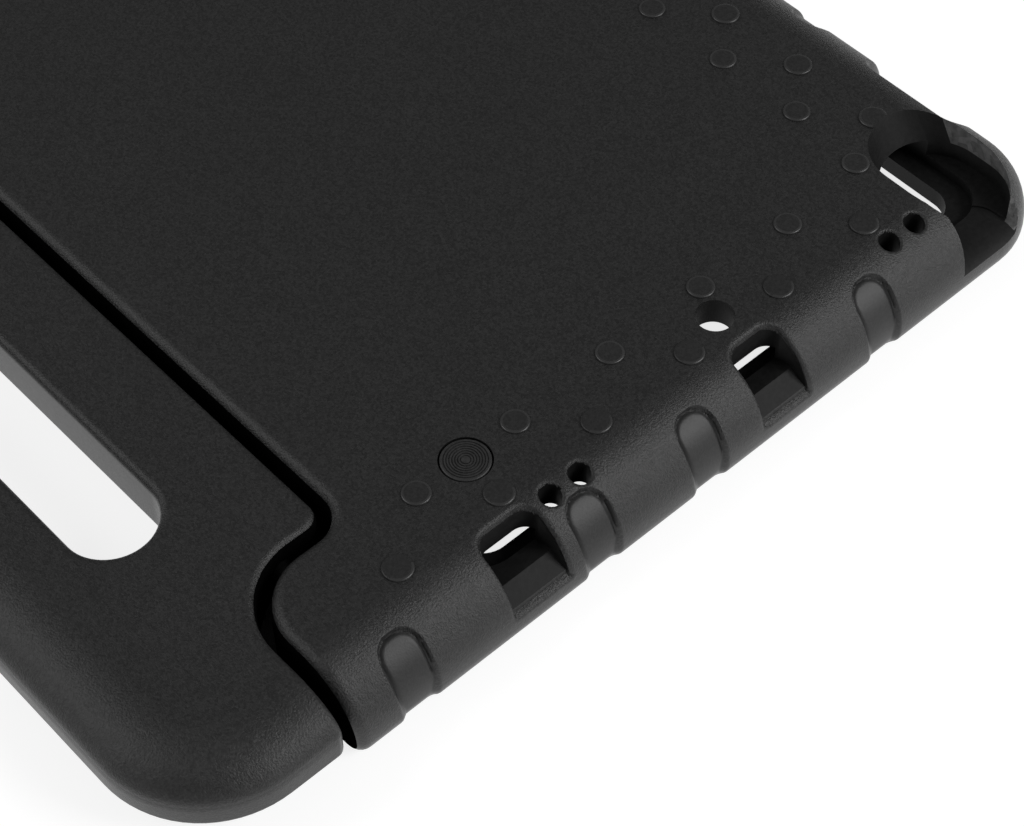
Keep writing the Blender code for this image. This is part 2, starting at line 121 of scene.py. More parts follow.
class Moulding:
    """A mesh under work, started from a primitive and shaped with edit-mode operators."""

    def __init__(self, thing: bpy.types.Object, name: str) -> None:
        """Take over an object and fix its place in its mesh.

        Args:
            thing: A new primitive, selected and active.
            name: Name of the object and of its mesh.
        """
        self.thing = thing
        thing.name = name
        thing.data.name = name
        make_active(thing)
        bpy.ops.object.transform_apply(location=True, rotation=True, scale=True)

    @classmethod
    def box(cls, name: str, low: Box, high: Box) -> "Moulding":
        """Start from a cube between two corners.

        Args:
            name: Name of the piece.
            low: Lowest corner.
            high: Highest corner.

        Returns:
            The new box.
        """
        deselect_all()
        centre = (Vector(low) + Vector(high)) / 2
        bpy.ops.mesh.primitive_cube_add(size=1.0, location=centre)
        thing = bpy.context.object
        thing.scale = Vector(high) - Vector(low)
        return cls(thing, name)

    @classmethod
    def rounded(cls, name: str, low: Box, high: Box, corner: float, steps: int = 10) -> "Moulding":
        """Start from a box whose upright edges are rounded.

        Args:
            name: Name of the piece.
            low: Lowest corner.
            high: Highest corner.
            corner: Radius of the upright edges.
            steps: Facets of each corner.

        Returns:
            The new rounded box.
        """
        made = cls.box(name, low, high)
        made.pick_edges(is_upright)
        made.bevel(corner, steps)
        return made

    @classmethod
    def round_bar(cls, name: str, centre: Box, radius: float, length: float, steps: int = 48) -> "Moulding":
        """Start from an upright cylinder.

        Args:
            name: Name of the piece.
            centre: Middle of the cylinder.
            radius: Its radius.
            length: Its height.
            steps: Number of sides.

        Returns:
            The new cylinder.
        """
        deselect_all()
        bpy.ops.mesh.primitive_cylinder_add(vertices=steps, radius=radius, depth=length, location=centre)
        return cls(bpy.context.object, name)

    def pick_edges(self, wanted: EdgeTest) -> int:
        """Select the edges that a test on their two ends wants.

        Args:
            wanted: Test on the two ends of an edge.

        Returns:
            The number of edges selected.
        """
        mesh = self.thing.data
        self._clear()
        points = [vertex.co for vertex in mesh.vertices]
        count = 0
        for edge in mesh.edges:
            first, second = edge.vertices
            if wanted(points[first], points[second]):
                edge.select = True
                mesh.vertices[first].select = True
                mesh.vertices[second].select = True
                count += 1
        bpy.context.tool_settings.mesh_select_mode = (False, True, False)
        return count

    def pick_faces(self, wanted: FaceTest) -> int:
        """Select the faces that a test on their middle and normal wants.

        Args:
            wanted: Test on the middle and the normal of a face.

        Returns:
            The number of faces selected.
        """
        mesh = self.thing.data
        self._clear()
        count = 0
        for face in mesh.polygons:
            if wanted(face.center, face.normal):
                face.select = True
                for index in face.vertices:
                    mesh.vertices[index].select = True
                count += 1
        bpy.context.tool_settings.mesh_select_mode = (False, False, True)
        return count

    def _clear(self) -> None:
        """Deselect all that the mesh has."""
        mesh = self.thing.data
        for group in (mesh.vertices, mesh.edges, mesh.polygons):
            group.foreach_set("select", [False] * len(group))

    def edit(self, *steps: Callable[[], object]) -> "Moulding":
        """Run edit-mode operators on the selection.

        Args:
            steps: Calls to make in edit mode, in order.

        Returns:
            This moulding.
        """
        make_active(self.thing)
        bpy.ops.object.mode_set(mode="EDIT")
        for step in steps:
            step()
        bpy.ops.object.mode_set(mode="OBJECT")
        return self

    def bevel(self, width: float, steps: int) -> "Moulding":
        """Round the selected edges.

        Args:
            width: Distance of the new edges from the old one.
            steps: Number of facets across the rounding.

        Returns:
            This moulding.
        """
        return self.edit(
            lambda: bpy.ops.mesh.bevel(
                offset=width,
                offset_type="OFFSET",
                segments=steps,
                profile=0.5,
                affect="EDGES",
                clamp_overlap=False,
            )
        )

    def round_sharp(self, degrees: float, width: float, steps: int) -> "Moulding":
        """Round every edge that is sharper than an angle.

        Args:
            degrees: Angle from which an edge counts as sharp.
            width: Distance of the new edges from the old one.
            steps: Number of facets across the rounding.

        Returns:
            This moulding.
        """
        self._clear()
        bpy.context.tool_settings.mesh_select_mode = (False, True, False)
        self.edit(lambda: bpy.ops.mesh.edges_select_sharp(sharpness=math.radians(degrees)))
        return self.bevel(width, steps)

    def divide(self, cuts: int) -> "Moulding":
        """Cut the selected edges into equal lengths.

        Args:
            cuts: Number of cuts in each edge.

        Returns:
            This moulding.
        """
        return self.edit(lambda: bpy.ops.mesh.subdivide(number_cuts=cuts, smoothness=0.0))

    def slice_at(self, point: Box, normal: Box) -> "Moulding":
        """Add a line across the selected faces, where a plane meets them.

        Args:
            point: A point of the plane.
            normal: The normal of the plane.

        Returns:
            This moulding.
        """
        return self.edit(lambda: bpy.ops.mesh.bisect(plane_co=point, plane_no=normal, threshold=1e-6))

    def move_points(self, place: Callable[[Vector], Vector]) -> "Moulding":
        """Give each point its new place.

        Args:
            place: Function from the old place to the new one.

        Returns:
            This moulding.
        """
        for vertex in self.thing.data.vertices:
            vertex.co = place(vertex.co)
        self.thing.data.update()
        return self

    def merge(self, distance: float) -> "Moulding":
        """Merge points that lie closer than a distance.

        Args:
            distance: The largest gap that closes.

        Returns:
            This moulding.
        """
        self.pick_faces(lambda middle, normal: True)
        return self.edit(lambda: bpy.ops.mesh.remove_doubles(threshold=distance))

    def combine(self, other: "Moulding", how: Join) -> "Moulding":
        """Combine with another moulding, which is used up.

        Args:
            other: The other closed solid.
            how: The way to combine them.

        Returns:
            This moulding.
        """
        make_active(self.thing)
        modifier = self.thing.modifiers.new("combine", "BOOLEAN")
        modifier.operation = how.value
        modifier.solver = "EXACT"
        modifier.object = other.thing
        bpy.ops.object.modifier_apply(modifier=modifier.name)
        bpy.data.objects.remove(other.thing)
        return self

    def gather(self, others: Iterable["Moulding"]) -> "Moulding":
        """Join other mouldings that stay apart from this one into its mesh.

        Args:
            others: The mouldings to join in.

        Returns:
            This moulding.
        """
        make_active(self.thing)
        for other in others:
            other.thing.select_set(True)
        bpy.ops.object.join()
        return self

    def dress(self, finishes: Sequence[bpy.types.Material]) -> "Moulding":
        """Give the mesh its material slots.

        Args:
            finishes: Materials, in the order of the face indices.

        Returns:
            This moulding.
        """
        self.thing.data.materials.clear()
        for finish in finishes:
            self.thing.data.materials.append(finish)
        return self

    def paint(self, index: int, wanted: FaceTest) -> "Moulding":
        """Give faces another material slot.

        Args:
            index: Index of the slot.
            wanted: Test on the middle and the normal of a face.

        Returns:
            This moulding.
        """
        for face in self.thing.data.polygons:
            if wanted(face.center, face.normal):
                face.material_index = index
        return self

    def smooth(self, degrees: float) -> "Moulding":
        """Shade smooth below an angle, with large flat faces kept flat.

        Args:
            degrees: Angle from which an edge stays sharp.

        Returns:
            This moulding.
        """
        make_active(self.thing)
        bpy.ops.object.shade_smooth_by_angle(angle=math.radians(degrees))
        weigh = self.thing.modifiers.new("even normals", "WEIGHTED_NORMAL")
        weigh.mode = "FACE_AREA"
        weigh.weight = 50
        weigh.keep_sharp = True
        bpy.ops.object.modifier_apply(modifier=weigh.name)
        return self


def rolled(away: float, radius: float) -> float:
    """Depth of a rolled rim at a distance from the opening's wall.

    Args:
        away: Distance from the wall, negative inside the opening.
        radius: Radius of the roll.

    Returns:
        Depth below the surface around it.
    """
    if away >= radius:
        return 0.0
    if away <= 0.0:
        return radius
    return radius - math.sqrt(radius * radius - (radius - away) ** 2)


def is_upright(first: Vector, second: Vector) -> bool:
    """Whether an edge stands upright.

    Args:
        first: One end of the edge.
        second: Its other end.

    Returns:
        Whether both ends lie over one point.
    """
    return abs(first.x - second.x) < 1e-6 and abs(first.y - second.y) < 1e-6


def is_level_at(height: float) -> EdgeTest:
    """Test for edges that lie at one height.

    Args:
        height: The height.

    Returns:
        The test.
    """
    return lambda first, second: abs(first.z - height) < 1e-5 and abs(second.z - height) < 1e-5


@dataclass(frozen=True)
class Layout:
    """Sizes that the case and the handle share, in metres."""

    bay_y: float = 0.0393
    half_length: float = 0.1382
    far_edge: float = 0.10195
    bay_half_length: float = 0.1258
    bay_half_width: float = 0.08755
    thickness: float = 0.0240
    bay_floor: float = 0.0080
    bay_top: float = 0.0160
    tip_line: float = -0.10485
    ear_line: float = -0.13505
    handle_edge: float = -0.18055
    tongue_half_width: float = 0.0970
    tip_round: float = 0.0065
    ear_round: float = 0.0180
    groove: float = 0.0032
    reach: float = 0.0480
    axis_z: float = 0.0160
    pin_radius: float = 0.0033
    pin_length: float = 0.0246
    pin_in_handle: float = 0.0108
    plug_place: tuple[float, float] = (0.1050, -0.07245)

    @property
    def axis_y(self) -> float:
        """Place of the hinge axis along Y."""
        return (self.tip_line + self.ear_line) / 2 + self.bay_y

    def tongue(self, offset: float) -> Moulding:
        """Solid on the handle's side of the groove, its walls moved towards the case.

        Args:
            offset: Distance from the middle line of the groove.

        Returns:
            The T-shaped solid, taller and wider than the mouldings.
        """
        wide = self.half_length + self.reach
        near = self.handle_edge - self.reach + self.bay_y
        shoulder = self.ear_line + offset + self.bay_y
        tip = self.tip_line + offset + self.bay_y
        half = self.tongue_half_width + offset
        low, high = -self.reach, self.thickness + self.reach
        solid = Moulding.box("shoulders", (-wide, near, low), (wide, shoulder, high))
        middle = (near + shoulder) / 2
        solid.combine(Moulding.box("tongue", (-half, middle, low), (half, tip, high)), Join.ADD)
        solid.pick_edges(lambda a, b: is_upright(a, b) and a.y > tip - 1e-4)
        solid.bevel(self.tip_round + offset, 10)
        solid.pick_edges(
            lambda a, b: is_upright(a, b) and abs(abs(a.x) - half) < 1e-5 and abs(a.y - shoulder) < 1e-5
        )
        solid.bevel(self.ear_round - offset, 14)
        return solid

    def pin_holes(self) -> Moulding:
        """Holes for the two hinge pins, through the ears and into the tongue.

        Returns:
            One mesh of both holes.
        """
        inner = self.tongue_half_width - self.groove / 2 - self.pin_in_handle
        holes = []
        for side in (-1, 1):
            middle = side * (inner + self.pin_length / 2)
            deselect_all()
            bpy.ops.mesh.primitive_cylinder_add(
                vertices=32,
                radius=self.pin_radius,
                depth=self.pin_length,
                location=(middle, self.axis_y, self.axis_z),
                rotation=(0.0, math.pi / 2, 0.0),
            )
            holes.append(Moulding(bpy.context.object, "pin hole"))
        return holes[0].gather(holes[1:])


@dataclass(frozen=True)
class CaseBody:
    """The main moulding around the tablet, with its ears, channels, discs and openings."""

    layout: Layout
    back_round: float = 0.0185
    front_round: float = 0.0055
    corner: float = 0.0225
    groove_round: float = 0.0032
    side_channels: tuple[float, ...] = (-0.11545, -0.0596, -0.0248, 0.0355)
    far_channels: tuple[float, ...] = (-0.0545, 0.0545)
    channel_width: float = 0.0115
    channel_depth: float = 0.0010
    crease_depth: float = 0.0004
    crease_width: float = 0.00055
    channel_start: float = 0.0104
    channel_rim: float = 0.0006
    channel_soft_rim: float = 0.0024
    channel_soft_below: float = 0.0100
    channel_foot: float = 0.0004
    channel_fade: float = 0.0016
    recess_place: float = 0.0925
    recess_length: float = 0.0325
    recess_depth: float = 0.0028
    recess_rim: float = 0.0026
    disc_height: float = 0.0005
    disc_rim: float = 0.0004
    ring_width: float = 0.0003
    inner_disc: float = 0.0036
    outer_disc: float = 0.0038
    disc_pitch: float = 0.0303
    far_disc_pitch: float = 0.0264
    row_spacing: float = 0.0127
    inner_row: float = 0.1046
    first_disc: float = -0.08705
    outer_stagger: float = 0.544
    far_row: float = 0.06405
    far_shift: float = 0.0016
    corner_disc: tuple[float, float] = (0.1019, 0.06155)
    notch_inside: float = 0.1228
    notch_depth: float = 0.0125
    notch_corner: float = 0.0042
    notches: tuple[tuple[float, float, int], ...] = (
        (-0.07825, 0.0165, 1),
        (0.0012, 0.0150, 1),
        (0.0, 0.018, -1),
        (-0.042, 0.026, -1),
        (0.042, 0.026, -1),
    )
    small_holes: tuple[float, ...] = (-0.06455, -0.05545, 0.04905, 0.05815)
    small_hole_x: float = 0.1249
    small_hole_radius: float = 0.00275
    small_hole_depth: float = 0.0120
    centre_hole_x: float = 0.1133
    centre_hole_radius: float = 0.0049
    plug_seat_radius: float = 0.0065
    plug_seat_depth: float = 0.0043
    notch_roll: float = 0.0014
    far_lean: float = 1.3
    ridge_place: float = 0.1312
    ridge_rise: float = 0.0020
    lip_drop: float = 0.0022
    hole_roll: float = 0.0007
    fine_step: float = 0.00032
    overlap: float = 0.0005
    bay_corner: float = 0.0100
    window_half: tuple[float, float] = (0.1203, 0.08205)
    window_corner: float = 0.0070
    window_flare: float = 0.0030
    key_notch_sides: tuple[float, float] = (0.06645, 0.08495)
    key_notch_depth: float = 0.0135
    key_notch_corner: float = 0.0070
    key_flare_start: float = 0.1300
    key_flare: float = 0.0032
    camera_low: Box = (0.1010, 0.06395, 0.0110)
    camera_high: Box = (0.1352, 0.09245, 0.0160)
    camera_corner: float = 0.0140
    camera_slant: float = 0.0050
    toe_heights: tuple[float, float] = (0.00275, 0.0077)
    toe_gap: float = 0.0003
    toe_reach: float = 0.0070
    toe_from_side: float = 0.0090
    toe_from_axis: float = 0.0020
    toe_corner: float = 0.0012

    def block(self) -> Moulding:
        """The whole rounded block, too long at the handle's end.

        Returns:
            The block with its large roundings.
        """
        lay = self.layout
        near = lay.ear_line - lay.reach + lay.bay_y
        far = lay.far_edge + lay.bay_y
        low, high = (-lay.half_length, near, 0.0), (lay.half_length, far, lay.thickness)
        block = Moulding.box("case_body_moulding", low, high)
        block.pick_edges(lambda a, b: is_upright(a, b) and a.y > 0.0)
        block.bevel(self.corner, 14)
        block.pick_edges(is_level_at(lay.thickness))
        block.bevel(self.back_round - 1e-5, 80)
        block.pick_edges(is_level_at(0.0))
        block.bevel(self.front_round - 1e-5, 10)
        return block.merge(5e-5)

    def press(self, block: Moulding) -> None:
        """Press the channels, the key recess and the rolled rims into the rounded sides.

        Args:
            block: The rounded block.
        """
        lay = self.layout
        half = self.channel_width / 2 + 0.0009
        channels = [(place - half, place + half) for place in self.side_channels]
        for side in (-1, 1):
            bands = list(channels)
            for centre, width, where in self.notches:
                reach = width / 2 + self.notch_roll + 0.0004
                if where == side:
                    bands.append((centre - reach, centre + reach))
            if side > 0:
                reach = self.small_hole_radius + self.hole_roll + 0.0003
                bands += [(place - reach, place + reach) for place in self.small_holes]
            self._refine(block, 0, side, [(low + lay.bay_y, high + lay.bay_y) for low, high in bands])
        bands = [(place - half, place + half) for place in self.far_channels]
        reach = self.recess_length / 2 + self.recess_rim
        bands.append((self.recess_place - reach, self.recess_place + reach))
        self._refine(block, 1, 1, bands)
        block.move_points(self._pressed)

    def _refine(self, block: Moulding, across: int, side: int, bands: list[tuple[float, float]]) -> None:
        """Divide bands of a rounded side into small squares.

        Args:
            block: The rounded block.
            across: Axis that points out of the side, 0 for the short sides and 1 for the far one.
            side: Sign of that axis.
            bands: Lowest and highest place of each band along the side.
        """
        lay = self.layout
        along = 1 - across
        edge = lay.half_length if across == 0 else lay.far_edge + lay.bay_y
        start = edge - self.back_round + 0.0012

        def in_side(point: Vector) -> bool:
            outward = side * point[across]
            if outward <= start or point.z <= self.channel_foot:
                return False
            return point.z > self.front_round - 1e-6 or outward > edge - self.front_round

        merged: list[tuple[float, float]] = []
        for low, high in sorted(bands):
            if merged and low < merged[-1][1] + self.fine_step:
                merged[-1] = (merged[-1][0], max(high, merged[-1][1]))
            else:
                merged.append((low, high))
        for low, high in merged:
            for place in (low, high):
                point, normal = [0.0, 0.0, 0.0], [0.0, 0.0, 0.0]
                point[along], normal[along] = place, 1.0
                block.pick_faces(lambda middle, facing: in_side(middle) and abs(facing[along]) < 0.02)
                block.slice_at(tuple(point), tuple(normal))
            centre, half = (low + high) / 2, (high - low) / 2 + 1e-6
            block.pick_edges(
                lambda a, b: abs(a[along] - centre) < half
                and abs(b[along] - centre) < half
                and abs(a[along] - b[along]) > half
                and in_side(a)
                and in_side(b)
            )
            block.divide(round((high - low) / self.fine_step))

    def _pressed(self, point: Vector) -> Vector:
        """Place of a point of the block once the channels and rims are pressed in.

        Args:
            point: Place on the block before.

        Returns:
            Place afterwards.
        """
        lay = self.layout
        y = point.y - lay.bay_y
        if point.z <= self.channel_foot:
            return point
        radius = self.back_round if point.z >= self.front_round else self.front_round
        for across, edge, outward in ((0, lay.half_length, abs(point.x)), (1, lay.far_edge, y)):
            core = edge - radius
            out = outward - core
            along = y if across == 0 else point.x
            if out <= 1e-4:
                continue
            side = 1 if across == 1 or point.x > 0 else -1
            channel = self._channel_depth(across, along, outward, point.z)
            depth = max(channel, self._roll_depth(across, side, along, outward, point.z))
            if depth == 0.0:
                continue
            up = point.z - self.front_round
            scale = (radius - depth) / math.hypot(out, up)
            out, up = out * scale, up * scale
            moved = point.copy()
            if across == 0:
                moved.x = math.copysign(core + out, point.x)
            else:
                moved.y = core + out + lay.bay_y
            moved.z = self.front_round + up
            return moved
        return point

    def _channel_depth(self, across: int, along: float, outward: float, height: float) -> float:
        """Depth of the channels and the key recess at a place.

        Args:
            across: 0 for the short sides and 1 for the far one.
            along: Place along the side.
            outward: Distance from the middle of the case.
            height: Height above the table.

        Returns:
            Depth below the rounded side.
        """
        lay = self.layout
        edge = lay.half_length if across == 0 else lay.far_edge
        start = edge - self.channel_start
        foot = soft_step((height - self.channel_foot) / self.channel_fade)
        depth = 0.0
        high = soft_step((height - 0.4 * self.channel_soft_below) / self.channel_soft_below)
        rim = self.channel_soft_rim + (self.channel_rim - self.channel_soft_rim) * high
        for centre in self.side_channels if across == 0 else self.far_channels:
            inside = self._inside(outward - start, along - centre, self.channel_width / 2)
            crease = math.exp(-(((inside - self.crease_width) / self.crease_width) ** 2)) * high
            floor = self.channel_depth * soft_step(inside / rim + 0.2 * high)
            depth = max(depth, floor + self.crease_depth * crease * soft_step(inside / rim + 0.6))
        if across == 1:
            inside = self._inside(outward - start, along - self.recess_place, self.recess_length / 2)
            depth = max(depth, self.recess_depth * soft_step(inside / self.recess_rim + 0.3))
        return depth * foot

    def _roll_depth(self, across: int, side: int, along: float, outward: float, height: float) -> float:
        """Depth of the rolled rims around the notches and the small holes at a place.

        Args:
            across: 0 for the short sides and 1 for the far one.
            side: 1 for the right side and -1 for the left one.
            along: Place along the side.
            outward: Distance from the middle of the case.
            height: Height above the table.

        Returns:
            Depth below the rounded side.
        """
        lay = self.layout
        if across == 1:
            return 0.0
        depth = 0.0
        for centre, width, where in self.notches:
            if where != side or abs(along - centre) > width / 2 + self.notch_roll:
                continue
            half = width / 2
            corner = self.notch_corner
            px = corner - (outward - self.notch_inside)
            py = abs(along - centre) - (half - corner)
            if px > 0.0 and py > 0.0:
                beside = math.hypot(px, py) - corner
            else:
                beside = max(px, py) - corner
            below = self._floor_height(outward) - height
            away = math.hypot(beside, below) if beside > 0.0 and below > 0.0 else max(beside, below)
            depth = max(depth, rolled(away, self.notch_roll))
        if side > 0:
            for place in self.small_holes:
                away = math.hypot(outward - self.small_hole_x, along - place) - self.small_hole_radius
                depth = max(depth, rolled(away, self.hole_roll))
        return depth

    def _floor_height(self, outward: float) -> float:
        """Height of a notch's floor, which rises to a ridge and falls to the outer lip.

        Args:
            outward: Distance from the middle of the case.

        Returns:
            The height above the table.
        """
        floor = self.layout.thickness - self.notch_depth
        if outward < self.ridge_place:
            share = (outward - self.notch_inside) / (self.ridge_place - self.notch_inside)
            return floor + self.ridge_rise * share
        share = (outward - self.ridge_place) / (self.layout.half_length - self.ridge_place)
        return floor + self.ridge_rise - (self.ridge_rise + self.lip_drop) * share

    def _inside(self, deep: float, aside: float, half: float) -> float:
        """How far a place lies inside a channel's outline.

        Args:
            deep: Distance past the channel's inner end.
            aside: Distance from its middle line.
            half: Half of its width.

        Returns:
            Distance to the outline, negative outside.
        """
        corner = 0.9 * self.channel_width / 2
        px, py = corner - deep, abs(aside) - (half - corner)
        if px > 0.0 and py > 0.0:
            return corner - math.hypot(px, py)
        return min(deep, half - abs(aside))

    def discs(self, finishes: Sequence[bpy.types.Material]) -> Moulding:
        """All raised discs of the back.

        Args:
            finishes: Materials, in the order of Skin.

        Returns:
            One mesh of separate discs with soft rims.
        """
        lay = self.layout
        made = []
        for x, y, radius in self.disc_places():
            depth = 0.004
            height = lay.thickness + self.disc_height
            centre = (x, y + lay.bay_y, height - depth / 2)
            disc = Moulding.round_bar("raised disc", centre, radius, depth, 36)
            disc.pick_edges(is_level_at(height))
            disc.bevel(self.disc_rim, 3)
            disc.pick_faces(lambda middle, normal: normal.z > 0.999)
            disc.edit(lambda: bpy.ops.mesh.inset(thickness=self.ring_width))
            inner = radius - self.disc_rim - self.ring_width
            disc.dress(finishes).paint(Skin.SMOOTH, lambda middle, normal: True)
            # The rim gets a painted highlight; on the outer discs of the short sides only the outward part of
            # the rim, where the light catches, gets it.
            on_slope = radius == self.outer_disc and abs(x) > self.inner_row

            def on_rim_highlight(middle: Vector, normal: Vector) -> bool:
                if normal.z <= 0.02 or math.hypot(middle.x - x, middle.y - centre[1]) <= inner:
                    return False
                return not on_slope or math.copysign(1.0, x) * (middle.x - x) > 0.3 * radius

            disc.paint(Skin.RIM, on_rim_highlight)
            made.append(disc)
        return made[0].gather(made[1:])

    def disc_places(self) -> list[tuple[float, float, float]]:
        """Places of the raised discs.

        Returns:
            Centre, from the middle of the bay, and radius of each disc.
        """
        places = []
        for side in (-1, 1):
            for index in range(5):
                y = self.first_disc + index * self.disc_pitch
                places.append((side * self.inner_row, y, self.inner_disc))
            for index in range(6):
                y = self.first_disc + (index - self.outer_stagger) * self.disc_pitch
                places.append((side * (self.inner_row + self.row_spacing), y, self.outer_disc))
            places.append((side * self.corner_disc[0], self.corner_disc[1], self.inner_disc))
        for index in range(7):
            places.append(((index - 3) * self.far_disc_pitch, self.far_row, self.inner_disc))
        for index in range(4):
            x = (index + 0.5) * self.far_disc_pitch + self.far_shift
            places += [(side * x, self.far_row + self.row_spacing, self.outer_disc) for side in (-1, 1)]
        return places

    def openings(self) -> Moulding:
        """Everything that meets the tablet bay and is cut out of the block, as one solid.

        Returns:
            The cutter.
        """
        lay = self.layout
        hole = self._centred(
            "tablet bay", lay.bay_half_length, lay.bay_half_width, self.bay_corner, lay.bay_floor, lay.bay_top
        )
        hole.combine(self._window(), Join.ADD)
        above = lay.thickness + lay.reach
        for centre, width, side in self.notches:
            hole.combine(self._notch(centre, width, side), Join.ADD)
        hole.combine(self._camera_opening(), Join.ADD)
        hole.combine(self._key_notch(), Join.ADD)
        low = lay.bay_top - self.overlap
        centre = (self.centre_hole_x, lay.bay_y, (low + above) / 2)
        bar = Moulding.round_bar("centre hole", centre, self.centre_hole_radius, above - low)
        return hole.combine(bar, Join.ADD)

    def _centred(
        self, name: str, half_x: float, half_y: float, corner: float, low: float, high: float
    ) -> Moulding:
        """Rounded box about the middle of the bay.

        Args:
            name: Name of the box.
            half_x: Half of its length.
            half_y: Half of its width.
            corner: Radius of its upright edges.
            low: Its lowest height.
            high: Its greatest height.

        Returns:
            The box.
        """
        y = self.layout.bay_y
        return Moulding.rounded(name, (-half_x, y - half_y, low), (half_x, y + half_y, high), corner)

    def _window(self) -> Moulding:
        """Screen opening of the front, flared towards the front.

        Returns:
            The cutter of the window.
        """
        lay = self.layout
        (half_x, half_y), flare = self.window_half, self.window_flare
        high = lay.bay_floor + self.overlap
        window = self._centred("screen window", half_x, half_y, self.window_corner, flare, high)
        window.pick_faces(lambda middle, normal: normal.z < -0.9)
        ratio = (1 + 2 * flare / half_x, 1 + 2 * flare / half_y, 1.0)
        pivot = (0.0, lay.bay_y, 0.0)
        window.edit(
            lambda: extrude((0.0, 0.0, -2 * flare)),
            lambda: bpy.ops.transform.resize(value=ratio, center_override=pivot),
        )
        return window

    def _notch(self, centre: float, width: float, side: int) -> Moulding:
        """Port notch in a short side, its floor falling outwards.

        Args:
            centre: Middle of the notch along the side, from the middle of the bay.
            width: Its width.
            side: 1 for the right side and -1 for the left one.

        Returns:
            The cutter of the notch.
        """
        lay = self.layout
        outer = lay.half_length + lay.reach
        low_x, high_x = (self.notch_inside, outer) if side > 0 else (-outer, -self.notch_inside)
        floor = lay.thickness - self.notch_depth
        middle = centre + lay.bay_y
        notch = Moulding.rounded(
            "port notch",
            (low_x, middle - width / 2, floor),
            (high_x, middle + width / 2, lay.thickness + lay.reach),
            self.notch_corner,
        )

        notch.pick_faces(lambda middle, normal: True)
        notch.slice_at((side * self.ridge_place, 0.0, 0.0), (1.0, 0.0, 0.0))

        def sloped(point: Vector) -> Vector:
            moved = point.copy()
            if point.z < floor + 1e-5:
                moved.z = self._floor_height(abs(point.x))
            return moved

        return notch.move_points(sloped)

    def _key_notch(self) -> Moulding:
        """Notch over the power key, its near side and its floor rounded over towards the outside.

        Returns:
            The cutter of the notch.
        """
        lay = self.layout
        floor = lay.thickness - self.key_notch_depth
        near, far = (side + lay.bay_y for side in self.key_notch_sides)
        notch = Moulding.rounded(
            "power key notch",
            (self.notch_inside, near, floor),
            (lay.half_length + lay.reach, far, lay.thickness + lay.reach),
            self.key_notch_corner,
        )
        start = self.key_flare_start
        span = lay.half_length + 0.0006 - start
        slices = 8
        for step in range(slices + 1):
            notch.pick_faces(lambda middle, normal: True)
            notch.slice_at((start + span * step / slices, 0.0, 0.0), (1.0, 0.0, 0.0))
        near_end = near + self.key_notch_corner / 2

        def flared(point: Vector) -> Vector:
            share = min(1.0, max(0.0, (point.x - start) / span))
            away = self.key_flare * (1.0 - math.sqrt(1.0 - share * share * 0.98))
            moved = point.copy()
            if point.y < near_end:
                moved.y -= away
            else:
                moved.y += (point.z - floor) * self.far_lean * share if point.z > floor + 1e-5 else 0.0
            if point.z < floor + 1e-5:
                moved.z -= away
            return moved

        return notch.move_points(flared)

    def _camera_opening(self) -> Moulding:
        """Opening over the camera corner, with one wide slanted side.

        Returns:
            The cutter of the opening.
        """
        lay = self.layout
        shift = Vector((0.0, lay.bay_y, 0.0))
        low, high = (Vector(corner) + shift for corner in (self.camera_low, self.camera_high))
        opening = Moulding.rounded("camera opening", tuple(low), tuple(high), self.camera_corner, 14)
        opening.pick_faces(lambda middle, normal: normal.z > 0.9)
        opening.edit(lambda: extrude((0.0, 0.0, 2 * (lay.thickness - lay.bay_top))))
        top = 2 * lay.thickness - lay.bay_top

        def slanted(point: Vector) -> Vector:
            if point.z > top - 1e-5:
                share = (high[0] - point.x) / (high[0] - low[0])
                point = point.copy()
                point.x -= 2 * self.camera_slant * soft_step(share * 1.6)
            return point

        return opening.move_points(slanted)

    def blind_holes(self) -> Moulding:
        """Small holes at the bay's edge and the blind seat of the plug.

        Returns:
            One mesh of separate cutters.
        """
        lay = self.layout
        above = lay.thickness + lay.reach
        made = []
        low = lay.thickness - self.small_hole_depth
        for place in self.small_holes:
            centre = (self.small_hole_x, place + lay.bay_y, (low + above) / 2)
            made.append(Moulding.round_bar("small hole", centre, self.small_hole_radius, above - low, 32))
        low = lay.thickness - self.plug_seat_depth
        x, y = lay.plug_place
        centre = (x, y + lay.bay_y, (low + above) / 2)
        made.append(Moulding.round_bar("plug seat", centre, self.plug_seat_radius, above - low, 64))
        return made[0].gather(made[1:])

    def toes(self) -> Moulding:
        """Ledges at the foot of the ears, under the shoulders of the closed handle.

        Returns:
            One mesh of both ledges.
        """
        lay = self.layout
        inner = lay.tongue_half_width - lay.groove / 2 + self.toe_gap
        outer = lay.half_length - self.toe_from_side
        near, far = lay.ear_line - self.toe_reach + lay.bay_y, lay.axis_y - self.toe_from_axis
        bottom, top = self.toe_heights
        made = []
        for side in (-1, 1):
            low_x, high_x = (inner, outer) if side > 0 else (-outer, -inner)
            low, high = (low_x, near, bottom), (high_x, far, top)
            made.append(Moulding.rounded("toe", low, high, self.toe_corner, 5))
        return made[0].gather(made[1:])

    def build(self, finishes: Sequence[bpy.types.Material]) -> bpy.types.Object:
        """Make the whole moulding.

        Args:
            finishes: Materials, in the order of Skin.

        Returns:
            The finished piece.
        """
        lay = self.layout
        block = self.block()
        block.dress(finishes)
        block.combine(lay.tongue(lay.groove / 2), Join.CUT)
        block.round_sharp(50, self.groove_round, 6)
        tip = lay.tip_line + lay.groove / 2 + self.groove_round + lay.bay_y

        # Faces deep in the hinge groove get the painted shade.
        def in_groove_shade(middle: Vector, normal: Vector) -> bool:
            if abs(normal.z) > 0.6 or middle.y > tip:
                return False
            return normal.y < -0.8 or (normal.x * middle.x < 0.0 and normal.y < 0.1)

